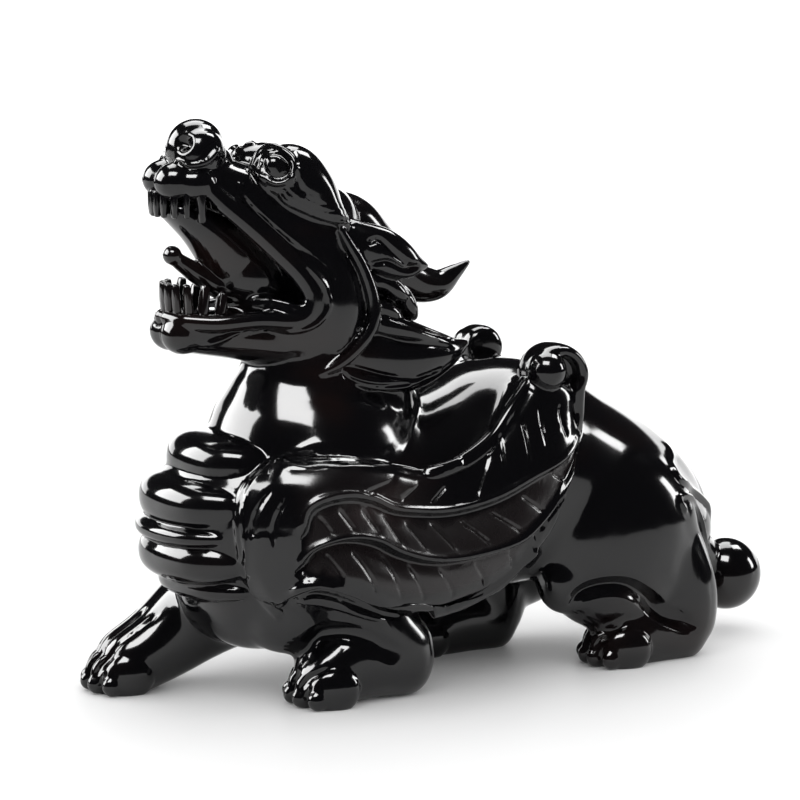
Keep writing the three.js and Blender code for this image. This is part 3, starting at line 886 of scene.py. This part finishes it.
def lifted_wing(skin, side):
    """The wing stands off the body, most along its foot and over the shoulder, least by arm and scroll"""
    outline = wing_outline(side)
    picked = skin.on_side(side, outline)
    x, z = skin.places[picked, 0], skin.places[picked, 2]
    from_outline = away(outline, x, z)
    from_top = away(smooth_path(TOP_EDGE, 4), x, z)
    from_foot = away(smooth_path(LOWER_EDGE + TRAILING_EDGE, 4), x, z)
    off_arm = np.where(x < -40, ramp(z, 17, 26), 1)
    lift = smooth(from_outline / 0.8) * off_arm * (1 - ramp(z, 44, 55))
    skin.rise[picked] += lift * (WING_LIFT + FOOT_LIFT * from_top / (from_top + from_foot + 1e-6))
    over_shoulder = smooth(from_outline / 1.2) * ramp(z, 39, 50) * ramp(x, -15, -24)
    skin.rise[picked] += CREST * over_shoulder


def barbs(skin, side, upper, lower, count, first, last, slant):
    """Fine cuts that slant across a row from its upper edge to its lower one"""
    above, below = smooth_path(upper, 10), smooth_path(lower, 10)
    for i in range(count):
        at = first + (last - first) * i / (count - 1)
        start = above[int(at * (len(above) - 1))]
        end = below[min(len(below) - 1, int((at + slant) * (len(below) - 1)))]
        line = [start + (end - start) * share for share in (0.22, 0.55, 0.88)]
        skin.groove(skin.laid(line, side, FALL[side]), width=LINE, depth=0.6)


def carve_wing(skin, side):
    fall = FALL[side]
    lifted_wing(skin, side)
    for upper, lower, depth in ROWS:
        sunk_row(skin, side, upper, lower, depth)
    skin.bead(skin.laid(FRONT_EDGE + TOP_EDGE[1:10], side, fall), width=1.0, height=0.8)
    for edge in (SECOND_EDGE, THIRD_EDGE):
        rim = skin.laid(edge, side, fall)
        skin.bead(rim, width=RIM, height=0.7)
        skin.groove(rim, width=LINE * 0.8, depth=0.3)
    skin.bead(skin.laid(between(FOURTH_EDGE, LOWER_EDGE), side, fall), width=2.1, height=0.7)
    skin.groove(skin.laid(LOWER_EDGE[:7], side, fall), width=0.9, depth=1.0)
    skin.groove(skin.laid(LEAF_VEIN, side, fall), width=0.7, depth=0.6)
    skin.ledge(skin.laid(LEAF_LOW, side, fall), side, height=0.9, fade=3.5)
    before_edge = [[x - 0.9, z] for x, z in TRAILING_EDGE[:4]]
    skin.bead(skin.laid(before_edge, side, fall, least=11), width=1.0, height=0.6, taper=4)
    for line in FLUTES:
        skin.groove(skin.laid(line, side), width=0.7, depth=0.4, taper=2.5)
    for line in TOP_BARBS:
        skin.groove(skin.laid(spaced(line, 4), side, fall), width=LINE, depth=0.45)
    barbs(skin, side, SECOND_EDGE, THIRD_EDGE, count=10, first=0.1, last=0.86, slant=0.09)
    barbs(skin, side, THIRD_EDGE, FOURTH_EDGE, count=8, first=0.12, last=0.84, slant=0.1)


# Carving of the head

LIP_OUTER = [[-50.4, 102.4], [-48.2, 99], [-40.5, 91.6], [-34.4, 85.1], [-33, 82.4], [-32.7, 79.2],
             [-35.2, 76.2], [-39.5, 75], [-44.5, 75.4], [-49.9, 75], [-53.5, 73.6], [-56.7, 72.7]]
LIP_THIN = [[-49.4, 105.4], [-46.8, 100.4], [-40.2, 94], [-32.6, 88], [-30.8, 84.4]]
BROW_LOW = [[-44, 102.6], [-40.9, 99.4], [-36.7, 97], [-33, 95.6], [-28, 94.6]]
BROW_NOTCH = [[-39.2, 107.4], [-38.4, 104.2], [-37.4, 101.4]]
LOWER_LID = [[-44.8, 105.8], [-43.4, 103.9], [-41.2, 103.9], [-39.4, 105.6]]
EYE = (-42.2, 107.8)
NOSTRIL = (-59.4, 4, 112.6)
NOSTRIL_WING = [[-61.6, 2.4, 110], [-60, 4.6, 108.6], [-57.6, 6, 108.6], [-55, 6.6, 109.8], [-53.2, 6, 112]]
EAR_LINES = [
    [[-24.3, 91.4], [-21.7, 92.4], [-19.1, 89.8], [-15.7, 86.9], [-12.4, 86]],
    [[-23.6, 87], [-20.2, 87.8], [-16.7, 86.1], [-13.4, 85.6]],
]
LOCK_LINES = [
    [[-23.5, 73.3], [-20.1, 72.4], [-15.2, 70.9], [-4.3, 69]],
    [[-29.7, 66.5], [-27.3, 66.8], [-19.8, 64.6], [-13.5, 63.6], [-7, 65]],
    [[-29.7, 66.5], [-27, 64], [-22, 62.8], [-14.5, 62.8]],
    [[-21.6, 78], [-15.8, 75], [-9.5, 72.4], [-3, 70.4]],
]


def circle_line(centre, radius):
    """A closed round line of the side view"""
    x, z = centre
    count = 14
    angles = [2 * math.pi * i / count for i in range(count + 1)]
    return [[x + radius * math.cos(angle), z + radius * math.sin(angle)] for angle in angles]


def carve_head(skin, side):
    skin.bead(skin.laid(LIP_OUTER, side), width=0.7, height=0.55)
    skin.bead(skin.laid(LIP_THIN, side), width=0.5, height=0.35)
    skin.groove(skin.laid(between(LIP_OUTER[:5], LIP_THIN), side), width=LINE, depth=0.3)
    brow = skin.laid(BROW_LOW, side)
    skin.ledge(brow, side, height=0.8, fade=5)
    skin.groove(brow, width=0.7, depth=0.4)
    skin.groove(skin.laid(BROW_NOTCH, side), width=1.0, depth=0.7, taper=1.6)
    skin.groove(skin.laid(LOWER_LID, side), width=0.6, depth=0.4)
    skin.groove(skin.laid(circle_line(EYE, 2.3), side), width=0.7, depth=0.6, taper=CLOSED)
    skin.bead(skin.laid(circle_line(EYE, 3.5), side), width=0.9, height=0.7, taper=CLOSED)
    x, y, z = NOSTRIL
    skin.dent(skin.tree.find_nearest(Vector((x, y * side, z)))[0], radius=2.3, depth=2.2)
    skin.bead(skin.snapped(NOSTRIL_WING, side), width=0.8, height=0.8)
    for line in EAR_LINES:
        skin.groove(skin.laid(line, side, least=9), width=0.9, depth=1.0)
    for line in LOCK_LINES:
        skin.groove(skin.laid(line, side, least=8), width=0.7, depth=0.6)


# Carving of the rump and paws

# Beside the rump ridge, [x, y, z] on either side
FLAME_EDGE = [[51, 6.6, 44], [50.2, 10.4, 42], [46.8, 14.6, 40.4], [46, 17.4, 38], [49.6, 15.4, 36.2],
              [54.4, 12, 33.4], [58, 9, 29.4], [60.4, 7.6, 25]]
STRAND = [[47.2, 30.9], [45.4, 33.5], [45.9, 34.7], [49.4, 33.9], [52.6, 31], [54.2, 27.7], [55, 24.3],
          [56, 20]]
HIND_ARCH = [[19.5, 13.7], [21.3, 16.1], [24, 17.5], [28, 17.9], [32, 17.1], [36.5, 14.4], [41, 10.8],
             [45.6, 8.4], [49.2, 6.8]]
FORE_ARCH = [[-41.6, 12.9], [-38.6, 14.5], [-34.6, 15.2], [-30.4, 14], [-26.1, 11.5], [-20.9, 8.2]]


def carve_rump_and_paws(skin, side):
    """A flame and a strand of hair beside the tail, and hollow arches over the paws that are drawn in"""
    skin.bead(skin.snapped(FLAME_EDGE, side), width=1.3, height=0.9, taper=6)
    skin.bead(skin.laid(STRAND, side), width=0.7, height=0.6)
    arch = skin.laid([[x + STRIDE[side], z] for x, z in HIND_ARCH], side)
    skin.bead(arch, width=2.4, height=-1.6, taper=5)
    skin.groove(arch, width=0.9, depth=0.5)
    if side < 0:
        skin.bead(skin.laid(FORE_ARCH, side), width=2.4, height=-0.9, taper=6)


def carve_toes(skin):
    """Clefts that run from between the claws up over each paw"""
    for x, y, spread, reach in PAWS:
        for k in (-1, 0, 1):
            row = y + k * spread * 0.68
            cleft = [[x - 5.4, row, 2.5], [x - 4, row, 6.4], [x + 0.2 * reach, row, 5 + 0.5 * reach],
                     [x + 0.8 * reach, row, 5 + 0.8 * reach]]
            skin.groove(skin.snapped(cleft), width=0.9, depth=0.8, taper=3)


# The figure

def body_mass():
    """The large forms, run into each other without a seam"""
    parts = [torso(), neck(), nape(), rump_ridge(), tail_root(), *chest_core()]
    for side in SIDES:
        parts += [shoulder(side), wing_root(side), *fore_leg_upper(side), *hind_leg(side)]
    mass = joined(parts, "mass")
    fused(mass, BODY_GRAIN)
    return rounded(softened(mass, FORM_ROUNDS))


def figure():
    """All the forms in one skin, carved over"""
    parts = [body_mass(), skull(), *nose(), *throat_and_tongue(), horn(), tail_ball(), *chest_rolls()]
    for x, y, spread, _ in PAWS:
        parts += toes(x, y, spread)
    for side in SIDES:
        parts += [*brow_and_eye(side), lip_fold(side), cheek_rim(side), ear(side), *hair_curls(side)]
        parts += [*mane_lock(side), wing_rim(side), *wing_scroll(side)]
    whole = joined(parts, "pixiu_carving")
    fused(whole, GRAIN)
    softened(whole, JOINT_ROUNDS)
    skin = Skin(whole)
    for side in SIDES:
        fair_wing(skin, side)
    skin = Skin(skin.finish())
    for side in SIDES:
        carve_wing(skin, side)
        carve_head(skin, side)
        carve_rump_and_paws(skin, side)
    carve_toes(skin)
    softened(skin.finish(), EDGE_ROUNDS)
    return joined([whole, *teeth()], "pixiu_carving")


def cut_flat(piece):
    """Cuts the soles flat at the level of the table"""
    chosen(piece)
    opened()
    bpy.ops.mesh.bisect(plane_co=(0, 0, 0), plane_no=(0, 0, -1), clear_outer=True, use_fill=True)
    closed()
    return piece


def thinned(piece):
    """Thins the flatter parts of the skin, and keeps the reflections of the fine one"""
    corners = np.empty(len(piece.data.polygons), np.int32)
    piece.data.polygons.foreach_get("loop_total", corners)
    triangles = int((corners - 2).sum())
    if triangles <= MOST_TRIANGLES:
        return piece
    fine = piece.copy()
    fine.data = piece.data.copy()
    bpy.context.scene.collection.objects.link(fine)
    finished_with(piece, "DECIMATE", ratio=MOST_TRIANGLES / triangles)
    finished_with(piece, "DATA_TRANSFER", object=fine, use_loop_data=True,
                  data_types_loops={"CUSTOM_NORMAL"}, loop_mapping="POLYINTERP_NEAREST")
    bpy.data.objects.remove(fine)
    return piece


def marked_ground(piece):
    """Marks the ground of the feathers as dull, but half so in the top row and not near the scroll"""
    skin = Skin(piece)
    ground = np.zeros(len(skin.places), np.float32)
    for side in SIDES:
        for upper, lower, _ in ROWS:
            above, below = row_edges(upper, lower, FALL[side])
            row = np.vstack([above, below[::-1]])
            picked = skin.on_side(side, row)
            x, z = skin.places[picked, 0], skin.places[picked, 2]
            dull = 0.5 * (1 - ramp(x, -22, -8)) if upper is TOP_EDGE else 1
            ground[picked] = smooth((away(row, x, z) - 0.6) / 0.8) * ramp(x, -47, -43) * dull
    attribute = piece.data.attributes.new("carved_ground", "FLOAT", "POINT")
    attribute.data.foreach_set("value", ground)
    return piece


def stood_on_frame(piece):
    """Brings the piece from carving steps to metres, on the frame's origin"""
    chosen(piece)
    opened()
    bpy.ops.transform.translate(value=(-MIDDLE, 0, 0))
    bpy.ops.transform.resize(value=(STEP, STEP, STEP), center_override=(0, 0, 0))
    closed()
    return piece


# Stone

GLASS = (0.0021, 0.002, 0.0025, 1)
CLOUD = (0.0062, 0.0034, 0.0031, 1)
GROUND = (0.014, 0.0075, 0.0078, 1)


class Wire:
    """An output of a shader node that takes part in sums as a number does"""

    def __init__(self, tree, socket=None):
        self.tree = tree
        self.socket = socket

    def node(self, kind, settings, inputs, output=0):
        node = self.tree.nodes.new(kind)
        for key, value in settings.items():
            setattr(node, key, value)
        for key, value in inputs.items():
            self.feed(node.inputs[key], value)
        return Wire(self.tree, node.outputs[output])

    def feed(self, socket, value):
        if isinstance(value, Wire):
            self.tree.links.new(value.socket, socket)
        else:
            socket.default_value = value

    def maths(self, operation, first, second):
        return self.node("ShaderNodeMath", {"operation": operation}, {0: first, 1: second})

    def __add__(self, other):
        return self.maths("ADD", self, other)

    def __mul__(self, other):
        return self.maths("MULTIPLY", self, other)

    __radd__ = __add__
    __rmul__ = __mul__

    def above(self, low, high):
        """Runs smoothly from 0 at low to 1 at high"""
        return self.node("ShaderNodeMapRange", {"interpolation_type": "SMOOTHSTEP"},
                         {"Value": self, "From Min": low, "From Max": high})


def obsidian():
    """Black glass with faint brown clouds, a wavy polish, and a dull ground between the feathers"""
    stone = bpy.data.materials.new("obsidian")
    stone.use_nodes = True
    tree = stone.node_tree
    shader = tree.nodes["Principled BSDF"]
    wire = Wire(tree)
    place = wire.node("ShaderNodeTexCoord", {}, {}, output="Object")

    def noise(scale, detail, stretch=(1, 1, 1)):
        spot = wire.node("ShaderNodeVectorMath", {"operation": "MULTIPLY"}, {0: place, 1: stretch})
        return wire.node("ShaderNodeTexNoise", {}, {"Vector": spot, "Scale": scale, "Detail": detail})

    def tinted(share, plain, tint):
        """The colours of a Mix node are its inputs 6 and 7 and its output 2"""
        return wire.node("ShaderNodeMix", {"data_type": "RGBA"}, {0: share, 6: plain, 7: tint}, output=2)

    clouds = noise(scale=26, detail=3, stretch=(1, 1, 1.8)).above(0.52, 0.74)
    smudges = noise(scale=70, detail=4).above(0.45, 0.75)
    scratches = noise(scale=900, detail=2, stretch=(1, 1, 0.25))
    waves = noise(scale=110, detail=1)
    ground = wire.node("ShaderNodeAttribute", {"attribute_name": "carved_ground"}, {}, output=2)

    colour = tinted(clouds, GLASS, CLOUD)
    colour = tinted(ground * (0.35 + 0.65 * clouds), colour, GROUND)
    roughness = 0.085 + 0.04 * smudges + 0.02 * scratches + 0.18 * ground
    height = 0.75 * waves + ground * scratches
    bump = wire.node("ShaderNodeBump", {}, {"Strength": 0.12, "Distance": 0.00025, "Height": height})
    wire.feed(shader.inputs["Base Color"], colour)
    wire.feed(shader.inputs["Roughness"], roughness)
    wire.feed(shader.inputs["Normal"], bump)
    shader.inputs["IOR"].default_value = 1.5
    return stone


# Table, light and camera

TABLE_SIZE = 1.2
AIM = (0, 0, 0.05)                 # the middle of the figure, which the soft boxes are turned to
REFLECTED_ROOM = (0.02, 0.02, 0.022, 1)
WHITE = (1, 1, 1, 1)
WHITE_STRENGTH = 1.25

# Degrees round from the figure's left side, degrees up, metres away, width and height in metres, radiance
SOFT_BOXES = {
    "left_box": (-118, 28, 0.95, (0.86, 0.6), 16),
    "front_box": (-38, 57, 0.95, (0.54, 0.34), 20),
    "right_box": (74, 15, 0.95, (0.16, 0.34), 18),
    "side_box": (100, 55, 0.95, (0.24, 0.36), 18),
    "over_box": (160, 66, 0.9, (0.6, 0.5), 10),
    "back_wall": (152, 6, 1.8, (4, 0.6), 3.6),
}

VIEW_TURN = -28                    # degrees that the camera stands round to the front from the left side
VIEW_HEIGHT = 10.5                 # degrees that it stands above the table
VIEW_DISTANCE = 900                # carving steps, as the lens is long
SENSOR = 36                        # millimetres
PHOTO_SIDE = 800                   # pixels, as the next two
PIXELS_PER_STEP = 4.82
ORIGIN_PIXEL = (440.5, 664)        # where the point that the carving steps start from shows


def table():
    deselect()
    bpy.ops.mesh.primitive_plane_add(size=TABLE_SIZE)
    floor = named("table")
    paper = bpy.data.materials.new("white_paper")
    paper.use_nodes = True
    shader = paper.node_tree.nodes["Principled BSDF"]
    shader.inputs["Base Color"].default_value = (0.9, 0.9, 0.9, 1)
    shader.inputs["Roughness"].default_value = 0.6
    floor.data.materials.append(paper)


def way_to(turn, height):
    """The direction so many degrees round from the figure's left side, and so many up"""
    azimuth, elevation = math.radians(turn), math.radians(height)
    return Vector((math.sin(azimuth) * math.cos(elevation), -math.cos(azimuth) * math.cos(elevation),
                   math.sin(elevation)))


def set_up(device, place, back):
    """Stands a light or a camera in its place, with this direction behind its back"""
    stand = bpy.data.objects.new(device.name, device)
    bpy.context.scene.collection.objects.link(stand)
    stand.location = place
    stand.rotation_euler = back.to_track_quat("Z", "Y").to_euler()
    return stand


def softbox(name, turn, height, distance, size, radiance):
    """It shows in the stone's polish alone, and leaves the matt table as the room lights it"""
    light = bpy.data.lights.new(name, "AREA")
    light.shape = "RECTANGLE"
    light.size, light.size_y = size
    light.energy = radiance * math.pi * size[0] * size[1]
    way = way_to(turn, height)
    lamp = set_up(light, Vector(AIM) + way * distance, way)
    lamp.visible_diffuse = False


def room():
    """White to the camera and on the table, and dark in reflections"""
    world = bpy.data.worlds.new("studio")
    world.use_nodes = True
    tree = world.node_tree
    wire = Wire(tree)
    background = tree.nodes["Background"]
    background.inputs["Color"].default_value = REFLECTED_ROOM
    dark = Wire(tree, background.outputs[0])
    white = wire.node("ShaderNodeBackground", {}, {"Color": WHITE, "Strength": WHITE_STRENGTH})
    from_camera = wire.node("ShaderNodeLightPath", {}, {}, output="Is Camera Ray")
    from_matt = wire.node("ShaderNodeLightPath", {}, {}, output="Is Diffuse Ray")
    seen = wire.node("ShaderNodeMixShader", {}, {0: from_camera + from_matt, 1: dark, 2: white})
    wire.feed(tree.nodes["World Output"].inputs["Surface"], seen)
    bpy.context.scene.world = world


def studio():
    """Soft boxes round a white table before a white wall, in a room that is dark otherwise"""
    for name, values in SOFT_BOXES.items():
        softbox(name, *values)
    room()
    bpy.context.scene.view_settings.view_transform = "Standard"


def camera():
    """As the photograph, from before the left side and a little above the table"""
    azimuth = math.radians(VIEW_TURN)
    back = way_to(VIEW_TURN, VIEW_HEIGHT)
    right = Vector((math.cos(azimuth), math.sin(azimuth), 0))
    up = back.cross(right)
    photo_middle = PHOTO_SIDE / 2
    off_origin = right * (photo_middle - ORIGIN_PIXEL[0]) + up * (ORIGIN_PIXEL[1] - photo_middle)
    target = off_origin * STEP / PIXELS_PER_STEP - Vector((MIDDLE * STEP, 0, 0))
    lens = bpy.data.cameras.new("camera")
    lens.sensor_width = SENSOR
    lens.lens = SENSOR * PIXELS_PER_STEP * VIEW_DISTANCE / PHOTO_SIDE
    distance = VIEW_DISTANCE * STEP
    bpy.context.scene.camera = set_up(lens, target + back * distance, back)


camera()
studio()
table()
carving = stood_on_frame(marked_ground(thinned(cut_flat(figure()))))
carving.data.materials.clear()
carving.data.materials.append(obsidian())
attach(carving, "root")
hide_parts("pixiu")
